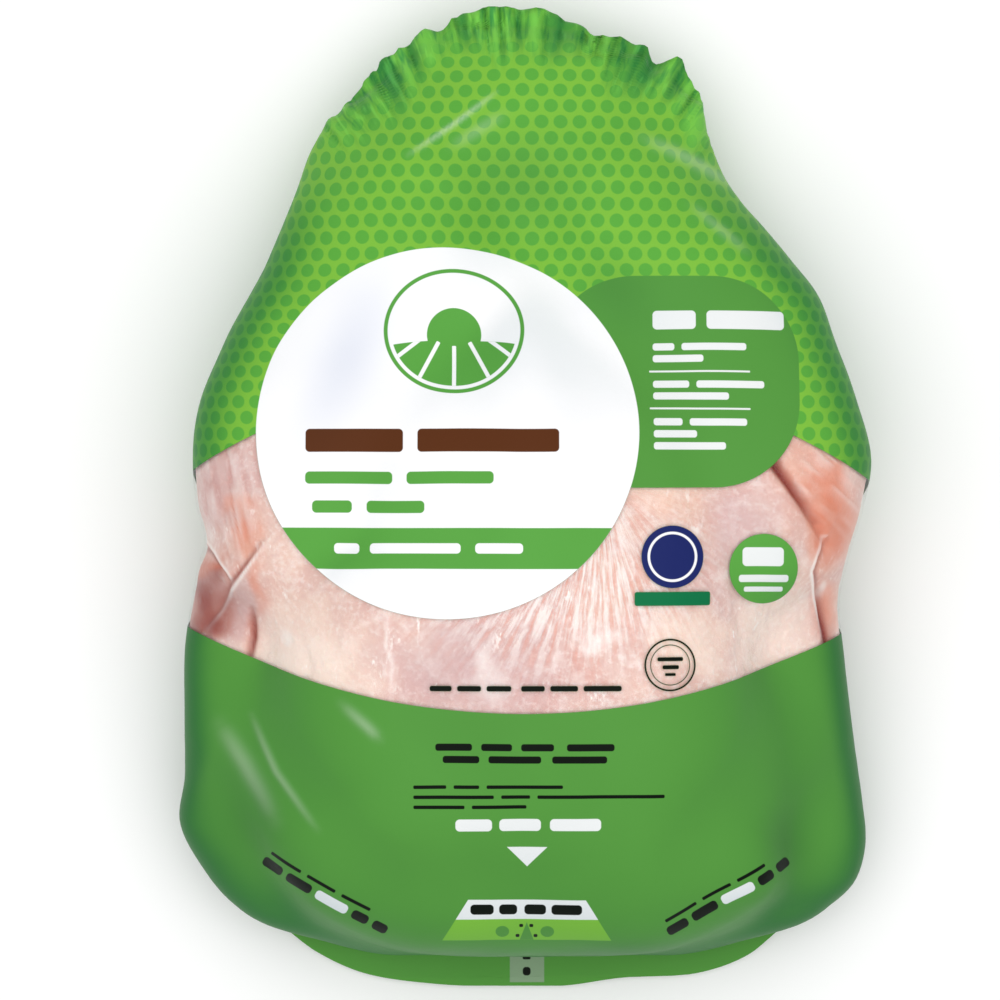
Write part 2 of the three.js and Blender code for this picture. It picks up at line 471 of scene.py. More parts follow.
def tight_rise(grid, angles):
    """How far the tight surface stands out or sinks in at each point of a ring grid."""
    x, y, z = split(grid)
    depth, _ = hollow_fields(x, y)
    rise = waves(WAVE_NOISE, x, y, WAVES) - depth - WAVE_SINK
    width = np.ptp(x, axis=1)[:, None]
    for value, fade in zip((z, np.sin(angles), width), RELIEF_FADES):
        rise = rise * smoothstep(value, *fade)
    return rise


# Relief of the film alone.
GATHER_NOISE = noise_1d(11)
FINE_GATHER_NOISE = noise_1d(12)
RIM_NOISE = noise_1d(13)
GATHER_FAN = (0.78, 0.55)  # angles between which the gathers fade out at the sides, in radians
GATHER_REACH = 15.5  # mean depth of the crimped band, in from the rim
GATHER_UNEVEN, GATHER_BAYS = 0.7, 13  # how much that depth varies, and how often per radian
BAND_FADE = (0.3, 1.05)  # shares of that depth between which the gathers fade out
GATHER_RADIUS = 92
BROAD_PITCH, FINE_PITCH = 3.8, 2.0
BROAD_DEPTH, FINE_DEPTH = 3.0, 0.8
BROAD_SHARE, BROAD_MEAN = 0.8, 0.55
RIM_WAVES = [(1 / 24, 7, 1.9), (1 / 60, 90, 1.1)]  # run in radians, place in the noise, height
# Torn steps of the rim: angle, half angle over which the step turns, reach around it and rise.
RIM_STEPS = [(-0.205, 0.013, 0.075, 1.5), (0.385, 0.013, 0.055, -1.6)]
RIM_TIPS = [(0.465, 0.026, 1.6), (-0.275, 0.02, 1.0), (0.02, 0.05, 0.6)]  # angle, half angle, rise

# Folds pulled up in the tight film, each as points in plan, half width, height and the strength of the
# painted sheen along it.
FILM_FOLDS = [
    ([(-31, 93.5), (-19, 102), (-7, 111)], 0.7, 0.35, 0.9),
    ([(-19, 96), (-5, 105)], 1.6, 0.3, 0.35),
    ([(33, 99), (48, 92), (61, 85)], 1.8, 0.4, 0.5),
    ([(46, 80), (61, 67)], 1.4, 0.3, 0.35),
    ([(-82, -61), (-75, -71), (-67, -86)], 2.4, 0.6, 0.5),
    ([(-73, -58), (-66, -73), (-55, -88)], 1.0, 0.4, 0.5),
    ([(-48, -54), (-41, -60), (-38, -63)], 1.4, 0.3, 0.6),
]


def pleats(noise, around, pitch):
    """Rounded pleats between narrow valleys, from 0 in a valley to about 1."""
    return np.abs(2 * noise(around / pitch + 200) - 1) ** 0.7


def gather_field(x, y):
    """Height of the gathers, how strongly the crimped band is felt, and the place in plan."""
    y = y - GATHER_CENTRE_Y
    angle = np.arctan2(x, y)
    rim_x, rim_y = CURVE[:, 0], CURVE[:, 1] - GATHER_CENTRE_Y
    rim_angle = np.arctan2(rim_x, rim_y)
    order = np.argsort(rim_angle)
    inward = np.interp(angle, rim_angle[order], np.hypot(rim_x, rim_y)[order]) - np.hypot(x, y)
    fan = smoothstep(np.abs(angle), *GATHER_FAN)
    reach = GATHER_REACH * (1 + GATHER_UNEVEN * (GATHER_NOISE(angle * GATHER_BAYS + 50) - 0.5))
    band = fan * (1 - smoothstep(inward / reach, *BAND_FADE))
    around = angle * GATHER_RADIUS
    broad = pleats(GATHER_NOISE, around, BROAD_PITCH)
    fine = pleats(FINE_GATHER_NOISE, around, FINE_PITCH)
    height = (broad - BROAD_MEAN) * BROAD_DEPTH + (fine - 0.5) * FINE_DEPTH
    ridge = np.clip(BROAD_SHARE * broad + (1 - BROAD_SHARE) * fine, 0, 1)
    return height, ridge, band, angle, inward


def rim_push(angle):
    """How far the rim of the mouth stands out at each angle."""
    push = ripples(RIM_NOISE, angle, RIM_WAVES)
    for place, turn, around, rise in RIM_STEPS:
        push += rise * np.tanh((angle - place) / turn) * bell((angle - place) / around)
    for place, around, rise in RIM_TIPS:
        push += rise * bell((angle - place) / around)
    return push


def along_fade(share, tip, power):
    """Lets a fold or crease run out softly at both ends."""
    return np.sin(np.pi * np.clip(share, tip, 1 - tip)) ** power


def fold_fields(x, y):
    # Height of the folds, and the strength of the painted sheen along them.
    height = np.zeros(x.shape)
    fold_sheen = np.zeros(x.shape)
    for points, half, rise, strength in FILM_FOLDS:
        gap, share = line_distance(x, y, points)
        profile = bell(gap / half) * along_fade(share, *FILM_RUN_OUT)
        height += rise * profile
        fold_sheen = np.maximum(fold_sheen, strength * profile)
    return height, fold_sheen


FILM_RINGS, FILM_CAP_RINGS = 276, 84
FILM_UPPER, FILM_LOWER = 192, 80
PATTERN_RISE = 0.75
PRINT_STRETCH = 0.965
STEEP_RANGE = (0.45, 0.93)  # upward part of the normal where the film counts as steep, and as level, for its painted shade
MOUTH_FADE = (100, 60)  # places along Y between which the painted shade of steep film fades towards the mouth
EDGE_FADE, EDGE_SHARE = (6, 17), 0.75  # how far in from the rim the painted steep shade is weaker, and by how much
TOP_RANGE = (0, 0.3)  # upward part of the normal where folds and their painted sheen set in
GATHER_HEIGHTS = (4, 14)  # heights between which the gathers set in
RIM_FADE = (8, 0)  # how far in from the rim its push starts, and where it is full


def ring_arcs(grid, weight):
    """Length along each ring from the line over the middle, positive to the right, with rises weighted."""
    spokes = grid.shape[1]
    step = np.roll(grid, -1, axis=1) - grid
    size = np.hypot(step[..., 0], weight * step[..., 2])
    total = np.concatenate([np.zeros((len(grid), 1)), np.cumsum(size, axis=1)], axis=1)
    girth = total[:, -1]
    top = FILM_UPPER // 2
    start = total[:, top] + grid[:, top, 0]
    arc = start[:, None] - total[:, :spokes]
    return np.where(arc < -girth[:, None] / 2, arc + girth[:, None], arc)


def print_coordinates(grid, normal):
    """Where each point lies on the flat print: across and along, and whether it is on the front."""
    x = grid[..., 0]
    arcs = ring_arcs(grid, 1.0)
    rows = np.arange(len(grid))
    right_arc = arcs[rows, x.argmax(axis=1)][:, None]
    left_arc = arcs[rows, x.argmin(axis=1)][:, None]
    past_right = x.max(axis=1)[:, None] + arcs - right_arc
    past_left = x.min(axis=1)[:, None] + arcs - left_arc
    across = np.where(arcs > right_arc, past_right, np.where(arcs < left_arc, past_left, x))
    front = smoothstep(normal[..., 2], -0.1, 0.1)
    return vectors(across / PRINT_STRETCH, grid[..., 1] / PRINT_STRETCH, front)


def pattern_coordinates(grid):
    """Coordinates for the repeated pattern, which keeps its size on the steep sides."""
    middle = grid[:, FILM_UPPER // 2]
    steps = np.diff(middle, axis=0)
    along = np.concatenate([[0], np.cumsum(np.hypot(steps[:, 1], PATTERN_RISE * steps[:, 2]))])
    along -= np.interp(0, middle[:, 1], along)
    return vectors(ring_arcs(grid, PATTERN_RISE), along[:, None], 0)


def make_film(table):
    angles = spoke_angles(FILM_UPPER, FILM_LOWER)
    grid = fit_size(film_grid(ring_places(FILM_RINGS), cap_tilts(FILM_CAP_RINGS), angles), table)
    normal = grid_normals(grid)
    x, y, z = split(grid)
    gather, ridge, band, angle, inward = gather_field(x, y)
    fold, fold_sheen = fold_fields(x, y)
    # The hollows' painted shade, for the ink.
    _, hollow_shade = hollow_fields(x, y)
    top_side = smoothstep(normal[..., 2], *TOP_RANGE)
    # Painted shade: the ink is darker where the film is steep, less so near the mouth and the rim.
    steep_shade = (1 - smoothstep(normal[..., 2], *STEEP_RANGE)) * smoothstep(y, *MOUTH_FADE)
    steep_shade *= 1 - EDGE_SHARE * smoothstep(inward, *EDGE_FADE)
    attributes = {
        "print": print_coordinates(grid, normal),
        "cell": pattern_coordinates(grid),
        # Painted sheen of the folds, with the crimped band and its ridges; then the painted shade of steep
        # film and of hollows.
        "sheen_band_ridge": vectors(fold_sheen * top_side, band, ridge),
        "shade": vectors(steep_shade, hollow_shade, 0),
    }
    rise = tight_rise(grid, angles) * (1 - band) + fold * top_side
    grid = grid + normal * rise[..., None]
    grid[..., 2] += gather * band * smoothstep(z, *GATHER_HEIGHTS)
    push = rim_push(angle) * band * smoothstep(inward, *RIM_FADE)
    grid[..., 0] += push * np.sin(angle)
    grid[..., 1] += push * np.cos(angle)
    return ring_mesh("film", np.clip(grid, *(np.array(CAD_BOX) / MM)), attributes)


SEAL_FROM, SEAL_WIDTH = -106, 80
SEAL_RINGS, SEAL_SPOKES = 60, 80
SEAL_PRINT_SHIFT = 20  # sets the seal's marks apart from those of the bag's body
SEAL_INSET = 0.15  # keeps the seal's first ring inside the outline
SEAL_CROWDING = 1.5  # bunches the rings towards the end
SEAL_FREE = (-112, -132)  # places along Y between which the ripples and the sag set in
SEAL_SAG = 1.0
RIPPLE_NOISE = noise_1d(31)
SEAL_RIPPLES = [(15, 60, 2.2), (5, 20, 0.5)]


def make_seal():
    """The flat sealed end. It starts under the neck end of the bird and shows beyond it."""
    angles = spoke_angles(SEAL_SPOKES, SEAL_SPOKES)
    end = -LENGTH / 2 + SEAL_INSET
    places = end + (SEAL_FROM - end) * np.linspace(0, 1, SEAL_RINGS) ** SEAL_CROWDING
    left, right = edges_at(places)
    left, right = np.maximum(left, -SEAL_WIDTH), np.minimum(right, SEAL_WIDTH)
    over = np.maximum(-places - (LENGTH / 2 - END_ROUNDING), 0) / END_ROUNDING
    half = (SEAL["half"] * np.sqrt(1 - over**2))[:, None]
    x = ((right + left) / 2)[:, None] + ((right - left) / 2)[:, None] * np.cos(angles)
    y = np.broadcast_to(places[:, None], x.shape)
    lift = ripples(RIPPLE_NOISE, x, SEAL_RIPPLES) - SEAL_SAG
    z = SEAL["z"] + lift * smoothstep(y, *SEAL_FREE) + half * np.sin(angles)
    front = np.broadcast_to(np.sin(angles) > 0, x.shape)
    empty = np.zeros(x.shape)
    attributes = {
        "print": vectors(x, y - SEAL_PRINT_SHIFT, front),
        "cell": vectors(x, y, 0),
        "sheen_band_ridge": vectors(empty, 0, 0.5),
        "shade": vectors(empty, 0, 0),
    }
    return ring_mesh("seal", vectors(x, y, z), attributes)


# Folds of the skin in plan, with the lower side to the left of each line: points, depth, reach of the
# hollow beside it, redness, darkness (deep red flesh and painted shade at the fold's foot) and how pale its
# lip is.
SKIN_FOLDS = [
    ([(-79.5, -24.3), (-81.5, -19.5), (-84.5, -14.5), (-88.5, -10)], 2.0, 4.0, 0.8, 0.8, 0.8),
    ([(-87.5, -36), (-82.2, -29.5), (-80.0, -25), (-75.3, -18.7), (-70, -12)], 1.6, 3.5, 0.8, 0.7, 0.95),
    ([(-34.5, -30), (-35.5, -38), (-33.5, -44), (-34.5, -52)], 0.5, 7.0, 0.0, 0.0, 0.5),
    ([(-12, -38), (-9, -43), (-11, -48), (-6, -53)], 0.4, 4.0, 0.0, 0.0, 0.5),
    ([(82.6, -11), (80.2, -16), (78.9, -20), (80.3, -26.8), (81.9, -32.6), (83.4, -40)],
     1.4, 4.0, 1.0, 0.6, 0.9),
]
FOLD_FOOT, FOLD_LIP = (0.5, 0.75), (-0.8, 0.55)  # places across a fold, and half widths
FOLD_EDGE = (-0.5, 0.7)  # where the skin steps down across a fold
FOLD_BLUSH = (-0.6, 2.5)  # where the redness starts, and how far it reaches on the lower side
# Creases: points in plan, half width, depth, redness, and darkness, which is deep red flesh and painted shade
# in the crease.
SKIN_CREASES = [
    ([(58, 23), (62, 18), (66.1, 11.7), (69.9, 6.6), (74.8, 0), (79.4, -6.7), (82.8, -13)],
     1.5, 2.5, 0.9, 0.25),
    ([(58, 22), (66.1, 11.7), (69.9, 6.6), (79.4, -6.7)], 1.4, 0.5, 1.0, 1.0),
    ([(81.4, -26), (82.2, -33), (83.0, -38), (83.8, -46)], 1.2, 1.2, 1.0, 1.0),
    ([(-73.2, -30), (-73.2, -37.4), (-74.6, -44)], 1.0, 1.5, 1.0, 0.8),
    ([(10, -36), (16, -44), (24, -50)], 1.2, 0.4, 0.1, 0.0),
    ([(28, 4), (31, -3), (30, -10)], 1.0, 0.3, 0.25, 0.0),
    ([(-60, -36), (-57, -44), (-58, -52)], 1.2, 0.4, 0.05, 0.0),
    ([(57, -25), (59, -36), (58, -46)], 1.4, 0.4, 0.05, 0.0),
]
CREASE_HALO, HALO_SHARE = 2.6, 0.4  # how much wider the redness reaches, and how strong it is there
SKIN_RUN_OUT, FILM_RUN_OUT = (0.03, 0.4), (0.02, 0.6)  # how folds end: least share and power
# Patches of colour in plan: centre, half sizes, then redness, darkness (deep red flesh and painted shade in
# gaps between parts), paleness (pale skin and painted glints), warmth and coolness.
SKIN_PATCHES = [
    ((-86.5, -28), (6.5, 10), (0.5, 0.85, 0, 0, 0.5)),
    ((-87, -18), (4.5, 4.5), (1.0, 0.3, 0, 0, 0)),
    ((-76, -8), (6, 9), (0.85, 0, 0, 0.3, 0)),
    ((-82, 6), (10, 15), (0.28, 0.04, 0, 0, 0.95)),
    ((-77, -30), (6, 12), (0.1, 0, 0, 0, 0.9)),
    ((-71, -24), (3, 10), (0.6, 0, 0, 0.2, 0)),
    ((-58, -43), (18, 13), (0, 0, 0.4, 1.0, 0)),
    ((-16, -44), (18, 12), (0, 0, 0, 0, 0.95)),
    ((0, -44), (7, 12), (0, 0, 0, 0, 0.7)),
    ((20, -37), (5.5, 3), (0, 0, 0.5, 0, 0)),
    ((-8.5, -46), (4, 6), (0, 0, 0.4, 0, 0)),
    ((-62, -37), (3, 4), (0, 0, 0.6, 0, 0)),
    ((46, -38), (12, 9), (0, 0, 0.25, 0.9, 0)),
    ((68, -34), (14, 15), (0, 0, 0.35, 0.5, 0)),
    ((60, -12), (11, 14), (0, 0, 0, 0, 0.8)),
    ((40, 2), (12, 9), (0.1, 0, 0, 0.5, 0)),
    ((84, -2), (10, 16), (1.0, 0, 0, 0.6, 0)),
    ((83, -10), (5, 8), (1.0, 0.05, 0, 0, 0)),
    ((76, 8), (9, 8), (0.35, 0, 0, 0.5, 0)),
    ((88, 8), (6, 7), (0.05, 0, 0.35, 0, 0)),
    ((84.5, -29), (4.5, 10), (0.8, 0, 0, 0.5, 0)),
    ((84, -25), (1.8, 3), (0, 0, 0.6, 0, 0)),
    ((8, -22), (24, 16), (0, 0, 0.1, 0, 0)),
]
PATCH_BEND, PATCH_SHARPNESS = 7, 1.4  # how far the patches' edges wander, and how clear-cut they are
# Fine wrinkles: centre, half sizes, and the direction that they run in.
WRINKLES = [
    ((-80, 0), (10, 17), (0.22, -1)),
    ((82, 5), (11, 12), (0.75, -0.66)),
    ((66, -28), (14, 18), (0.15, -1)),
]
WRINKLE_PITCH, WRINKLE_LENGTH, WRINKLE_DEPTH, WRINKLE_PALE = 1.5, 9, 0.4, 0.6
WRINKLE_BEND, BEND_RUN = 1.6, 14
FIBRES = ((9, -22), (30, 20))  # where pale fibres fan out over the breast: centre and half sizes
SKIN_DENSE = (-62, 42)  # places between which the skin shows through the clear band
SKIN_RINGS = (9, 236, 24)
SKIN_CAP_RINGS = 18
SKIN_END = 112
SKIN_UPPER, SKIN_LOWER = 256, 36
SKIN_HEIGHTS = (8, 20)  # heights between which folds and creases set in
LEAST_GAP = 0.35  # between the top of the skin and the top of the film
LUMP_NOISE = noise_2d(21)
LUMPS = [((10, 12), (5, 8), 0.45), ((3.6, 4.4), (3, 1), 0.3)]
WRINKLE_NOISE = noise_2d(22)


def patch_profile(x, y, centre, half, sharpness=1.0):
    away = ((x - centre[0]) / half[0]) ** 2 + ((y - centre[1]) / half[1]) ** 2
    return np.exp(-(away**sharpness))


def wrinkle_field(x, y):
    """Depth of the fine wrinkles, and how pale the skin is between them."""
    depth, pale = np.zeros(x.shape), np.zeros(x.shape)
    for centre, half, (ax, ay) in WRINKLES:
        size = math.hypot(ax, ay)
        along, across = (x * ax + y * ay) / size, (x * ay - y * ax) / size
        across = across + WRINKLE_BEND * WRINKLE_NOISE(along / BEND_RUN + 3, across / BEND_RUN + 3)
        noise = WRINKLE_NOISE(across / WRINKLE_PITCH + 40, along / WRINKLE_LENGTH + 9)
        ridge = np.abs(2 * noise - 1)
        mask = patch_profile(x, y, centre, half)
        depth += WRINKLE_DEPTH * (1 - ridge) ** 2 * mask
        pale = np.maximum(pale, WRINKLE_PALE * mask * ridge**1.5)
    return depth, pale


def skin_fields(x, y):
    """How deep the skin is cut at points in plan, and how red, dark, pale, warm and cool it is. The darkness
    is deep red flesh and painted shade; the paleness is partly painted glints.
    """
    tones = np.zeros((5, *x.shape))
    depth, tones[2] = wrinkle_field(x, y)
    bent_x = x + PATCH_BEND * (LUMP_NOISE(x / 5, y / 7 + 20) - 0.5)
    bent_y = y + PATCH_BEND * (LUMP_NOISE(x / 6 + 30, y / 5) - 0.5)
    # A patch's darkness is deep red flesh and painted shade; its paleness is pale skin and painted glints.
    for centre, half, strengths in SKIN_PATCHES:
        profile = patch_profile(bent_x, bent_y, centre, half, PATCH_SHARPNESS)
        tones = np.maximum(tones, np.multiply.outer(strengths, profile))
    for points, sink, reach, redness, darkness, lip in SKIN_FOLDS:
        gap, share = line_distance(x, y, points)
        below = np.maximum(gap, 0)
        red = redness * np.where(gap > FOLD_BLUSH[0], np.exp(-below / FOLD_BLUSH[1]), 0)
        # Deep red at the fold's foot, partly painted shade in its hollow.
        dark = darkness * bell((gap - FOLD_FOOT[0]) / FOLD_FOOT[1])
        pale = lip * bell((gap - FOLD_LIP[0]) / FOLD_LIP[1])
        fade = along_fade(share, *SKIN_RUN_OUT)
        depth += sink * fade * smoothstep(gap, *FOLD_EDGE) * np.exp(-below / reach)
        tones[:3] = np.maximum(tones[:3], fade * np.array([red, dark, pale]))
    for points, half, sink, redness, darkness in SKIN_CREASES:
        gap, share = line_distance(x, y, points)
        fade = along_fade(share, *SKIN_RUN_OUT)
        profile = fade * bell(gap / half)
        red = HALO_SHARE * fade * bell(gap / (CREASE_HALO * half)) + (1 - HALO_SHARE) * profile
        depth += sink * profile
        # Deep red in the crease, partly painted shade.
        tones[:2] = np.maximum(tones[:2], np.array([redness * red, darkness * profile]))
    return depth + waves(LUMP_NOISE, x, y, LUMPS), tones


def make_chicken(table):
    angles = spoke_angles(SKIN_UPPER, SKIN_LOWER)
    stops = (NECK_Y, *SKIN_DENSE, SKIN_END)
    runs = [np.linspace(a, b, n, endpoint=False) for a, b, n in zip(stops, stops[1:], SKIN_RINGS)]
    grid = fit_size(skin_grid(np.concatenate(runs), cap_tilts(SKIN_CAP_RINGS), angles), table)
    normal = grid_normals(grid)
    x, y, z = split(grid)
    depth, tones = skin_fields(x, y)
    upper = smoothstep(z, *SKIN_HEIGHTS) * smoothstep(np.sin(angles), -0.1, 0.1)
    grid = grid + normal * (tight_rise(grid, angles) - depth * upper)[..., None]
    grid[..., 2] = np.minimum(grid[..., 2], HEIGHT - LEAST_GAP)
    tint = vectors(*tones[3:], patch_profile(x, y, *FIBRES))
    return ring_mesh("chicken", grid, {"tone": vectors(*tones[:3]), "tint": tint})


class Shader:
    """A material's node tree, with short calls to add and join its nodes."""

    def __init__(self, name):
        self.material = bpy.data.materials.new(name)
        self.material.use_nodes = True
        self.tree = self.material.node_tree
        self.tree.nodes.clear()

    def feed(self, socket, value):
        if isinstance(value, bpy.types.NodeSocket):
            self.tree.links.new(value, socket)
        elif socket.type == "RGBA" and len(value) == 3:
            socket.default_value = (*value, 1)
        else:
            socket.default_value = value

    def node(self, kind, inputs, output=0, **settings):
        node = self.tree.nodes.new("ShaderNode" + kind)
        for key, value in settings.items():
            setattr(node, key, value)
        for key, value in inputs.items():
            self.feed(node.inputs[key], value)
        return node.outputs[output]

    def math(self, operation, *values):
        return self.node("Math", dict(enumerate(values)), operation=operation)

    def plus(self, a, b):
        return self.math("ADD", a, b)

    def minus(self, a, b):
        return self.math("SUBTRACT", a, b)

    def times(self, a, b):
        return self.math("MULTIPLY", a, b)

    def least(self, values):
        return functools.reduce(functools.partial(self.math, "MINIMUM"), values)

    def vector(self, operation, *values):
        return self.node("VectorMath", dict(enumerate(values)), operation=operation)

    def length(self, vector):
        return self.node("VectorMath", {0: vector}, 1, operation="LENGTH")

    def offset(self, point, centre):
        return self.vector("SUBTRACT", point, (*centre, 0))

    def ramp(self, value, low, high, start=0.0, end=1.0, kind="LINEAR"):
        inputs = {"Value": value, "From Min": low, "From Max": high, "To Min": start, "To Max": end}
        return self.node("MapRange", inputs, interpolation_type=kind)

    def mix(self, share, a, b, kind="MIX"):
        return self.node("Mix", {0: share, 6: a, 7: b}, 2, data_type="RGBA", blend_type=kind)

    def noise(self, vector, scale, detail=2.0, rough=0.5):
        inputs = {"Vector": vector, "Scale": scale, "Detail": detail, "Roughness": rough}
        return self.node("TexNoise", inputs)

    def fan(self, offset, pitch, run, detail, rough):
        """Streaks that fan out from one point, with their pitch in radians and their length."""
        x, y, _ = self.parts(offset)
        around = self.math("DIVIDE", self.math("ARCTAN2", x, y), pitch)
        reach = self.math("DIVIDE", self.length(offset), run)
        return self.noise(self.node("CombineXYZ", {0: around, 1: reach}), 1.0, detail, rough)

    def place(self):
        return self.node("TexCoord", {}, 3)

    def attribute(self, name):
        return self.node("Attribute", {}, 1, attribute_name=name)

    def parts(self, vector):
        return self.node("SeparateXYZ", {0: vector}).node.outputs

    def output(self, surface):
        end = self.tree.nodes.new("ShaderNodeOutputMaterial")
        self.feed(end.inputs["Surface"], surface)
        return self.material


EDGE = 0.09  # half softness of a printed edge, in millimetres
BAR_ROUNDING, MOST_ROUNDING = 0.75, 1.2  # rounding of a bar, as a share of its half height, and the most


class Print(Shader):
    """Flat shapes on the print, as masks of a point that is measured in millimetres."""

    def __init__(self, name):
        super().__init__(name)
        whole = self.attribute("print")
        self.across, self.along, front = self.parts(whole)
        self.point = self.vector("MULTIPLY", whole, (1, 1, 0))
        self.on_front = self.ramp(front, 0.4, 0.6)

    def inside(self, distance):
        return self.ramp(distance, -EDGE, EDGE, 1, 0)

    def either(self, a, b):
        return self.math("MAXIMUM", a, b)

    def beyond(self, value, middle, half):
        """How far a value lies beyond a stretch around its middle, less than 0 inside it."""
        return self.minus(self.math("ABSOLUTE", self.minus(value, middle)), half)

    def rounded(self, corner, radius):
        return self.minus(self.length(self.vector("MAXIMUM", corner, (0, 0, 0))), radius)

    def box(self, centre, half, radius, point=None):
        offset = self.vector("ABSOLUTE", self.offset(point or self.point, centre))
        return self.inside(self.rounded(self.offset(offset, [side - radius for side in half]), radius))

    def boxes(self, rows, point=None):
        """One mask for rows of rounded bars, each as its height in plan, half height and ends."""
        x, y, _ = self.parts(point or self.point)
        gaps = []
        for height, half, *ends in rows:
            radius = min(half * BAR_ROUNDING, MOST_ROUNDING)
            beside = self.least([self.beyond(x, (a + b) / 2, (b - a) / 2 - radius) for a, b in ends])
            corner = self.node("CombineXYZ", {0: beside, 1: self.beyond(y, height, half - radius)})
            gaps.append(self.rounded(corner, radius))
        return self.inside(self.least(gaps))

    def oval(self, centre, half):
        reach = self.length(self.vector("DIVIDE", self.offset(self.point, centre), (*half, 1)))
        return self.inside(self.times(self.minus(reach, 1), min(half)))

    def ring(self, centre, outer, inner):
        reach = self.length(self.offset(self.point, centre))
        return self.inside(self.beyond(reach, (outer + inner) / 2, (outer - inner) / 2))

    def turned(self, centre, degrees):
        """The point as seen in a frame that is turned about a centre."""
        inputs = {"Vector": self.point, "Center": (*centre, 0), "Angle": math.radians(-degrees)}
        return self.node("VectorRotate", inputs, rotation_type="Z_AXIS")


# Colours of the print.
LEAF_GREEN = (0.103, 0.385, 0.050)
LIME_GREEN = (0.198, 0.485, 0.050)
PLAIN_GREEN = (0.086, 0.288, 0.049)
PANEL_GREEN = (0.086, 0.290, 0.050)
BAND_GREEN = (0.100, 0.350, 0.058)
WHITE = (0.90, 0.90, 0.91)
SOFT_WHITE = (0.78, 0.80, 0.80)
BROWN = (0.100, 0.030, 0.010)
NAVY = (0.014, 0.022, 0.125)
RIBBON_GREEN = (0.006, 0.163, 0.058)
BLACK = (0.004, 0.007, 0.004)
GREY = (0.23, 0.34, 0.21)

# Edges of the clear band: where each lies over the middle, and how it bends towards the sides.
WINDOW_TOP = (36.0, -0.0032)
WINDOW_BOTTOM = (-58.3, 0.0025)

CELL = (5.2, 4.6)  # pitch of the pattern across and along, in millimetres
DOT, DOT_EDGE = 1.92, 0.15  # radius of a dot, and half softness of its edge

# Plain bars in the places of lettering, by colour: height in plan, half height, and the ends of each bar.
UPPER_BARS = [
    (BROWN, [(16.5, 3.2, (-60, -33), (-29, 10))]),
    (BAND_GREEN, [(6.2, 1.7, (-60, -36), (-32, -8)), (-1.8, 1.7, (-58, -47), (-43, -27))]),
    (WHITE, [(-13.2, 1.4, (-52, -45), (-42, -17), (-13, 0))]),
    (SOFT_WHITE, [
        (50.0, 2.6, (36, 48), (51, 73)),
        (42.5, 1.0, (36, 42), (44, 62)), (39.2, 1.0, (36, 50)),
        (35.6, 0.25, (35, 63)),
        (32.0, 1.0, (36, 46), (48, 67)), (28.7, 1.0, (36, 57)),
        (25.2, 0.25, (35, 63)),
        (21.5, 1.0, (36, 44), (46, 62)), (18.2, 1.0, (36, 48)), (14.9, 1.0, (36, 56)),
        (-15.6, 2.6, (60.5, 72)), (-21.6, 1.0, (59.5, 73.5)), (-24.6, 0.7, (61, 72)),
    ]),
]
LOWER_BARS = [
    (SOFT_WHITE, [(-89.3, 1.7, (-18.5, -8.5), (-6.5, 5), (7.5, 21.5))]),
    (BLACK, [
        (-67.6, 1.0, (-24, -14), (-11.5, -3), (-0.5, 8.5), (12, 25)),
        (-71.0, 1.0, (-22, -12), (-9.5, 5), (8, 23)),
        (-78.6, 0.5, (-30, -21), (-19, -12), (-10, 11)), (-81.4, 0.5, (-30, -8), (-6, 2), (4, 39)),
        (-84.2, 0.5, (-30, -16), (-14, 1)),
        (-113.9, 1.5, (-14.5, -8), (-6.5, -1.5), (0.5, 6.5), (8, 16.5)),
        (-118.8, 0.5, (-0.9, 0.2), (1.9, 3.0)), (-121.9, 0.5, (-1.9, -0.8), (3.1, 4.2)),
        (-147.9, 0.5, (0.3, 2.5)), (-151.7, 1.2, (0.3, 2.5)),
    ]),
]
WINDOW_BARS = [(-51.4, 0.75, (-25.5, -19.5), (-18, -11.5), (-10, -3.2), (-0.5, 6), (7.5, 15), (16.5, 26.9))]
STAMP_BARS = [(1.6, 0.55, (-3.6, 3.6)), (-0.6, 0.55, (-2.2, 2.4)), (-2.6, 0.4, (-1.5, 1.5))]
CORNER_BARS = [
    (BLACK, [
        (0, 1.5, (-20, -13.5), (-12, -4), (9, 14), (15.5, 20)),
        (3.4, 0.5, (-19, -9), (-7, 2), (4, 13)),
    ]),
    (SOFT_WHITE, [(0, 1.5, (-2.5, 7.5))]),
]
CORNERS = [((-55.5, -111), -29), ((58, -111), 29)]  # centres of the corners' bars, and their turns

# The larger shapes of the print, in plan.
STAMP_CENTRE = (40.3, -45.1)
BADGE_CENTRE = (41, -15.5)
SUN_CENTRE = (-19, 46)
OPENER_MIDDLE, OPENER_TOP = 1.2, -111.0
OPENER_HALF, OPENER_FLARE = 16.3, 0.6  # half width of the easy-open mark's top, and how it widens downwards
ARROW_TOP, ARROW_TIP = -95.6, -101.2
WEDGE_DROP, WEDGE_FLARE = 6.8, 0.36


def window_edge(shader, edge):
    return shader.plus(shader.times(shader.times(shader.across, shader.across), edge[1]), edge[0])


def pattern_mask(shader):
    """Rows of round dots, each row shifted by half a pitch."""
    size = (CELL[0], 2 * CELL[1], 0)
    cell = shader.vector("DIVIDE", shader.attribute("cell"), (CELL[0], 2 * CELL[1], 1))
    reaches = []
    for shift in ((0, 0, 0), (0.5, 0.5, 0)):
        moved = shader.vector("FRACTION", shader.vector("ADD", cell, shift))
        offset = shader.vector("MULTIPLY", shader.offset(moved, (0.5, 0.5)), size)
        reaches.append(shader.length(offset))
    return shader.ramp(shader.least(reaches), DOT - DOT_EDGE, DOT + DOT_EDGE, 1, 0)


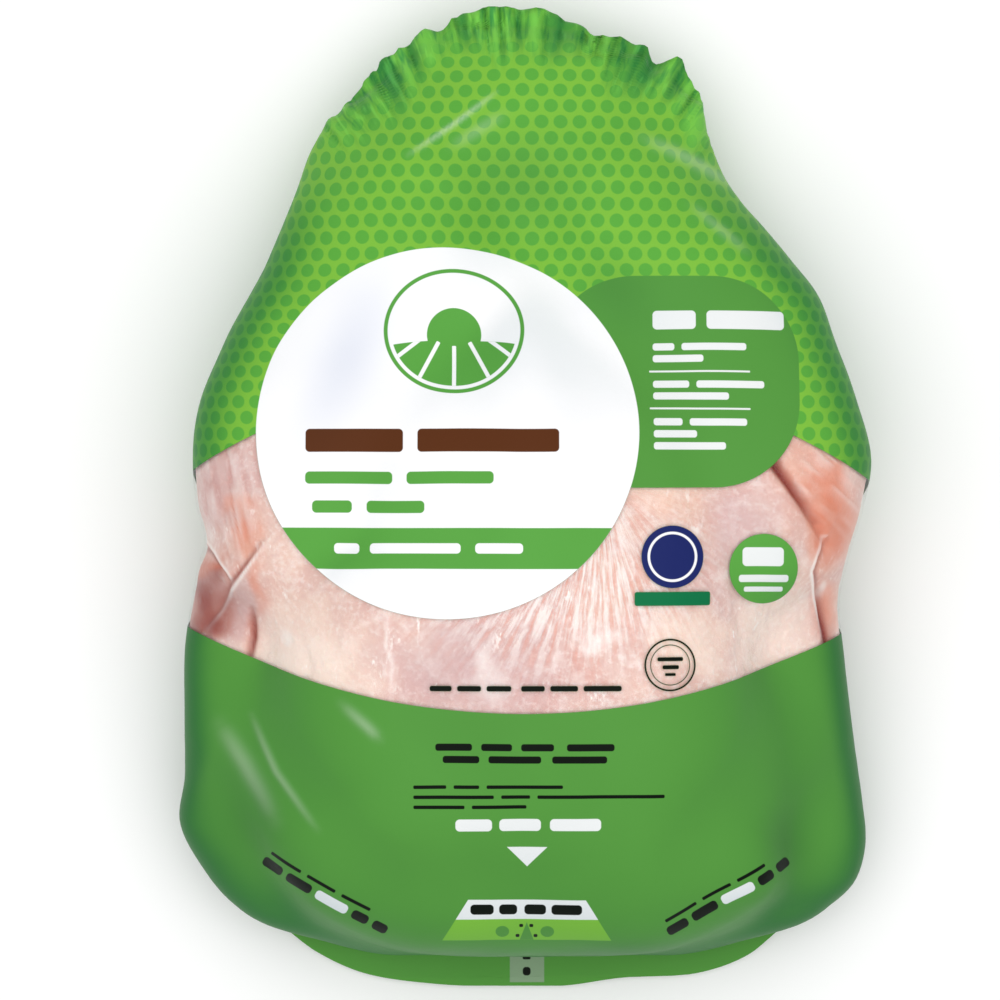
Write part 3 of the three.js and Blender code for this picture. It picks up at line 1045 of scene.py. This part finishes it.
class Ink:
    """Ink laid over ink, as a colour, and a mask of where there is any."""

    def __init__(self, shader, colour, mask):
        self.shader, self.colour, self.mask = shader, colour, mask

    def stamp(self, shape, tint, over_clear=False):
        """Prints a shape on the front. Only a shape that lies over clear film adds to the mask."""
        shown = self.shader.times(shape, self.shader.on_front)
        self.colour = self.shader.mix(shown, self.colour, tint)
        if over_clear:
            self.mask = self.shader.either(self.mask, shown)

    def stamp_bars(self, table, point=None):
        for tint, rows in table:
            self.stamp(self.shader.boxes(rows, point), tint)


def upper_ink(shader, band):
    """The pattern, the panels and discs, and the marks on the clear band."""
    top = shader.inside(shader.minus(window_edge(shader, WINDOW_TOP), shader.along))
    bottom = shader.inside(shader.minus(shader.along, window_edge(shader, WINDOW_BOTTOM)))
    dots = shader.either(pattern_mask(shader), shader.times(band, 0.8))
    colour = shader.mix(top, PLAIN_GREEN, shader.mix(dots, LIME_GREEN, LEAF_GREEN))
    ink = Ink(shader, colour, shader.either(top, bottom))
    ink.stamp(shader.box((42, 33), (35, 29.5), 24), PANEL_GREEN, True)
    ink.stamp(shader.oval(BADGE_CENTRE, (8.6, 8.6)), NAVY, True)
    ink.stamp(shader.ring(BADGE_CENTRE, 6.9, 6.2), WHITE)
    ink.stamp(shader.box((41, -27), (10.5, 1.9), 0.6), RIBBON_GREEN, True)
    ink.stamp(shader.oval((66.5, -19), (9.7, 9.7)), BAND_GREEN, True)
    label = shader.oval((-21, 19), (53, 51.5))
    ink.stamp(label, WHITE, True)
    ink.stamp(shader.times(label, shader.box((-21, -13.2), (60, 5.6), 0.2)), BAND_GREEN)
    stamp_farm(shader, ink)
    stamp_window(shader, ink)
    ink.stamp_bars(UPPER_BARS)
    return ink


def stamp_farm(shader, ink):
    """A round picture of a low sun over ploughed ground."""
    centre = (SUN_CENTRE[0], SUN_CENTRE[1] + 1)
    ink.stamp(shader.oval(centre, (19.5, 17.5)), BAND_GREEN)
    ink.stamp(shader.oval(centre, (18.4, 16.4)), WHITE)
    inner = shader.oval(centre, (17.4, 15.4))
    ink.stamp(shader.times(inner, shader.oval(SUN_CENTRE, (7.5, 7.5))), BAND_GREEN)
    ground = shader.times(inner, shader.oval((-19, 10), (60, 34.5)))
    ink.stamp(ground, BAND_GREEN)
    for turn in (-52, -28, 0, 28, 52):
        furrow = shader.box((-19, 32), (0.55, 11), 0.3, shader.turned((-19, 52), turn))
        ink.stamp(shader.times(ground, furrow), WHITE)


def stamp_window(shader, ink):
    """Thin dark marks on the clear band."""
    rings = [shader.ring(STAMP_CENTRE, outer, inner) for outer, inner in ((7.2, 6.7), (5.6, 5.35))]
    lines = shader.boxes(STAMP_BARS, shader.offset(shader.point, STAMP_CENTRE))
    marks = functools.reduce(shader.either, (*rings, lines, shader.boxes(WINDOW_BARS)))
    ink.stamp(marks, BLACK, True)


def lower_ink(shader):
    """The lower green field with the marks of the easy-open end."""
    ink = Ink(shader, PLAIN_GREEN, 1)
    side = shader.beyond(shader.across, OPENER_MIDDLE, 0)
    slope = shader.minus(side, shader.minus(shader.along, ARROW_TIP))
    arrow = shader.times(shader.inside(slope), shader.inside(shader.minus(shader.along, ARROW_TOP)))
    ink.stamp(arrow, SOFT_WHITE)
    down = shader.minus(OPENER_TOP, shader.along)
    flared = shader.inside(shader.minus(side, shader.plus(shader.times(down, OPENER_FLARE), OPENER_HALF)))
    wedge = shader.inside(shader.minus(side, shader.times(shader.minus(down, WEDGE_DROP), WEDGE_FLARE)))
    for shape, middle, half, tint in (
        (flared, 8.9, 3.3, LIME_GREEN),
        (flared, 2.9, 2.9, SOFT_WHITE),
        (wedge, 9.2, 3.0, PLAIN_GREEN),
    ):
        ink.stamp(shader.times(shape, shader.inside(shader.beyond(down, middle, half))), tint)
    for x in (-5.6, 6.9):
        ink.stamp(shader.oval((x, OPENER_TOP - 9.6), (1.9, 1.7)), PLAIN_GREEN)
    ink.stamp(shader.box((1.5, -151), (4.8, 3.8), 0.1), GREY)
    ink.stamp_bars(LOWER_BARS)
    for centre, turn in CORNERS:
        ink.stamp_bars(CORNER_BARS, shader.offset(shader.turned(centre, turn), centre))
    return ink


# Light and shade painted into the ink, as multipliers and colours: painted shade where the film is steep or
# hollow and in the pleats' valleys, a random cloudy tone, a painted highlight on the pleats' crests, and a
# painted sheen along the folds.
PAINTED_STEEP_SHADE = (0.31, 0.58, 0.70)
PAINTED_HOLLOW_SHADE = (0.74, 0.77, 0.86)
CLOUD_TINT = (0.78, 0.82, 0.84)
PAINTED_VALLEY_SHADE = (0.36, 0.60, 0.95)
PAINTED_CREST_HIGHLIGHT = (0.22, 0.66, 0.09)
PAINTED_SHEEN, PAINTED_SHEEN_SHARE = (0.85, 0.90, 0.80), 0.33
FINE_PLEAT, FINE_RUN = 2.2, 11  # pitch and length of the mouth's finest pleats
PLEAT_BUMP = 9
GLOSS_LEAST, GLOSS_RISE, GLOSS_POWER = 0.014, 0.3, 4.0  # how the clear film's gloss grows at its edges
HALVES_OVERLAP = 0.5


def fine_pleats(shader):
    """Streaks that fan out over the mouth from a point between the legs."""
    offset = shader.offset(shader.point, (0, GATHER_CENTRE_Y / PRINT_STRETCH))
    return shader.fan(offset, FINE_PLEAT / GATHER_RADIUS, FINE_RUN, 2.0, 0.55)


def clear_film(shader, bump):
    facing = shader.node("LayerWeight", {"Blend": 0.5, "Normal": bump}, 1)
    gloss = shader.node("BsdfGlossy", {"Color": (1, 1, 1), "Roughness": 0.16, "Normal": bump})
    clear = shader.node("BsdfTransparent", {"Color": (0.985, 0.985, 0.985)})
    edge = shader.plus(shader.times(shader.math("POWER", facing, GLOSS_POWER), GLOSS_RISE), GLOSS_LEAST)
    return shader.node("MixShader", {0: edge, 1: clear, 2: gloss})


def film_material():
    """Ink under gloss, or clear film. Each half of the print is worked out only where it shows."""
    shader = Print("printed_film")
    # Painted sheen of the folds, the crimped band and its ridges; then the painted shade of steep film and of
    # hollows.
    fold_sheen, band, ridge = shader.parts(shader.attribute("sheen_band_ridge"))
    steep_shade, hollow_shade, _ = shader.parts(shader.attribute("shade"))
    place = shader.place()
    cloud = shader.ramp(shader.noise(place, 22.0), 0.45, 0.75, 0, 0.3)
    pleat = fine_pleats(shader)
    fine = shader.plus(shader.noise(place, 420.0), shader.times(shader.times(band, pleat), PLEAT_BUMP))
    bump = shader.node("Bump", {"Height": fine, "Strength": 0.10, "Distance": 0.0004})

    def pleat_shade_and_highlight(colour):
        """Painted shade in the valleys of the mouth's pleats, and a painted highlight on their crests."""
        valley_shade = shader.either(shader.ramp(ridge, 0.14, 0.5, 1, 0), shader.ramp(pleat, 0.34, 0.5, 1, 0))
        crest_highlight = shader.either(shader.ramp(ridge, 0.55, 0.8, 0, 0.6), shader.ramp(pleat, 0.53, 0.66, 0, 0.7))
        colour = shader.mix(shader.times(band, crest_highlight), colour, PAINTED_CREST_HIGHLIGHT)
        return shader.mix(shader.times(band, valley_shade), colour, PAINTED_VALLEY_SHADE, "MULTIPLY")

    def ink_with_painted_light(colour, painted_light=None):
        """Ink of a colour under the film, with painted shade where the film is steep or hollow, a random
        cloudy tone, any painted light it is given, and a painted sheen along its folds.
        """
        for share, tint in ((cloud, CLOUD_TINT), (steep_shade, PAINTED_STEEP_SHADE), (hollow_shade, PAINTED_HOLLOW_SHADE)):
            colour = shader.mix(share, colour, tint, "MULTIPLY")
        if painted_light:
            colour = painted_light(colour)
        # A whitish painted sheen along the folds of the film.
        colour = shader.mix(shader.times(fold_sheen, PAINTED_SHEEN_SHARE), colour, PAINTED_SHEEN)
        coat = {"Roughness": 0.4, "IOR": 1.48, "Specular IOR Level": 0.05}
        return shader.node("BsdfPrincipled", {"Base Color": colour, "Normal": bump, **coat})

    upper = upper_ink(shader, band)
    limit = shader.plus(window_edge(shader, WINDOW_BOTTOM), HALVES_OVERLAP)
    low = shader.math("LESS_THAN", shader.along, limit)
    halves = {0: low, 1: ink_with_painted_light(upper.colour, pleat_shade_and_highlight), 2: ink_with_painted_light(lower_ink(shader).colour)}
    ink = shader.node("MixShader", halves)
    return shader.output(shader.node("MixShader", {0: upper.mask, 1: clear_film(shader, bump), 2: ink}))


# Skin colours.
CREAM = (0.80, 0.57, 0.485)
PINK = (0.68, 0.42, 0.385)
PALE = (0.92, 0.80, 0.76)
PEACH_CREAM = (1.0, 0.72, 0.54)
ROSE = (0.57, 0.39, 0.395)
ORANGE_RED = (0.74, 0.22, 0.12)
# White of fat and pale fibres, also painted glints of wet skin.
FAT_AND_GLINT_WHITE = (1.0, 0.96, 0.92)
# Deep red of raw flesh, which also stands for painted shade in folds, creases and gaps.
DEEP_RED_AND_SHADE = (0.22, 0.012, 0.008)

FIBRE_CENTRE = (0.020, 0.008)
FIBRE_ANGLE, FIBRE_RUN = 0.035, 0.012  # pitch of the fibres in radians, and their length in metres


def skin_material():
    shader = Shader("chicken_skin")
    red, dark, pale = shader.parts(shader.attribute("tone"))
    warm, cool, fibre = shader.parts(shader.attribute("tint"))
    place = shader.place()
    mottle = shader.noise(place, 170.0, 3.0, 0.6)
    grain = shader.noise(place, 640.0, 3.0, 0.65)
    from_centre = shader.vector("MULTIPLY", shader.offset(place, FIBRE_CENTRE), (1, -1, 0))
    strand = shader.fan(from_centre, FIBRE_ANGLE, FIBRE_RUN, 3.0, 0.6)
    stretched = shader.vector("MULTIPLY", place, (1.0, 0.45, 0.6))
    # White flecks: painted glints of wet skin.
    glint_flecks = shader.ramp(shader.noise(stretched, 330.0, 3.0, 0.65), 0.60, 0.68, 0, 0.8)
    colour = PINK
    for share, tint in (
        (shader.ramp(shader.noise(place, 28.0), 0.38, 0.62), CREAM),
        (shader.ramp(shader.noise(place, 75.0, 3.0, 0.6), 0.46, 0.62, 0, 0.5), PINK),
        (shader.ramp(mottle, 0.5, 0.75, 0, 0.6), PALE),
        (shader.ramp(grain, 0.5, 0.64, 0, 0.4), PALE),
        (shader.ramp(grain, 0.32, 0.46, 0.35, 0), PINK),
        (shader.times(warm, 0.65), PEACH_CREAM),
        (shader.times(cool, 0.65), ROSE),
        (shader.times(fibre, shader.ramp(strand, 0.38, 0.48, 0.6, 0)), ORANGE_RED),
        (shader.times(fibre, shader.ramp(strand, 0.47, 0.6, 0, 0.75)), FAT_AND_GLINT_WHITE),
        # White flecks, painted glints.
        (shader.times(glint_flecks, shader.ramp(shader.noise(place, 60.0), 0.48, 0.6)), FAT_AND_GLINT_WHITE),
        (shader.times(red, 0.9), ORANGE_RED),
        # Pale skin, partly painted glints.
        (pale, FAT_AND_GLINT_WHITE),
        # Deep red, partly painted shade.
        (dark, DEEP_RED_AND_SHADE),
    ):
        colour = shader.mix(share, colour, tint)
    pores = shader.node("TexVoronoi", {"Vector": place, "Scale": 210.0, "Randomness": 0.9})
    relief = shader.ramp(pores, 0.0, 0.35, 0.25, 0, "SMOOTHSTEP")
    for height, weight in ((mottle, 0.7), (grain, 0.4), (shader.times(fibre, strand), 0.8)):
        relief = shader.plus(relief, shader.times(height, weight))
    surface = {
        "Base Color": colour,
        "Roughness": 0.4,
        "Specular IOR Level": 0.12,
        "Subsurface Weight": 0.12,
        "Subsurface Radius": (1.0, 0.38, 0.25),
        "Subsurface Scale": 0.002,
        "Normal": shader.node("Bump", {"Height": relief, "Strength": 0.6, "Distance": 0.0009}),
        "Coat Weight": 0.06,
        "Coat Roughness": 0.12,
    }
    return shader.output(shader.node("BsdfPrincipled", surface))


FLOOR_HALF, FLOOR_DROP = 3, 0.0003
FLOOR_TONES = ((0.90, 0.90, 0.90), (0.92, 0.92, 0.92))
CAMERA_PLACE = (-0.00605, 0, 1.481)
CAMERA_LENS, CAMERA_SENSOR, CAMERA_REACH = 190, 36, 20
KEY_HEIGHT, KEY_SIZE, KEY_POWER = 2.0, 3.6, 54
WORLD_STRENGTH = 0.42


def make_floor():
    shader = Shader("studio_floor")
    tone = shader.mix(shader.noise(shader.place(), 3.0), *FLOOR_TONES)
    corners = [(x * FLOOR_HALF, y * FLOOR_HALF, -FLOOR_DROP) for x, y in ((-1, -1), (1, -1), (1, 1), (-1, 1))]
    mesh = bpy.data.meshes.new("floor")
    mesh.from_pydata(corners, [], [(0, 1, 2, 3)])
    surface = shader.node("BsdfPrincipled", {"Base Color": tone, "Roughness": 0.7})
    mesh.materials.append(shader.output(surface))
    floor = add_object("floor", mesh)


def make_camera():
    data = bpy.data.cameras.new("camera")
    data.lens = CAMERA_LENS
    data.sensor_width = CAMERA_SENSOR
    data.clip_end = CAMERA_REACH
    camera = add_object("camera", data)
    camera.location = CAMERA_PLACE
    bpy.context.scene.camera = camera


def make_lights():
    """One wide soft lamp straight overhead, and a little light from all round."""
    data = bpy.data.lights.new("key", "AREA")
    data.shape = "DISK"
    data.size = KEY_SIZE
    data.energy = KEY_POWER
    add_object("key", data).location = (0, 0, KEY_HEIGHT)
    world = bpy.data.worlds.new("studio")
    world.use_nodes = True
    background = world.node_tree.nodes["Background"]
    background.inputs["Color"].default_value = (1, 1, 1, 1)
    background.inputs["Strength"].default_value = WORLD_STRENGTH
    bpy.context.scene.world = world
    bpy.context.scene.view_settings.view_transform = "Standard"


fit = fit_table()
printed = film_material()
film = make_film(fit)
seal = make_seal()
chicken = make_chicken(fit)
for piece in (film, seal):
    piece.data.materials.append(printed)
chicken.data.materials.append(skin_material())
for piece in (film, seal, chicken):
    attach(piece, "root")
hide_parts("bagged_chicken")
make_floor()
make_camera()
make_lights()
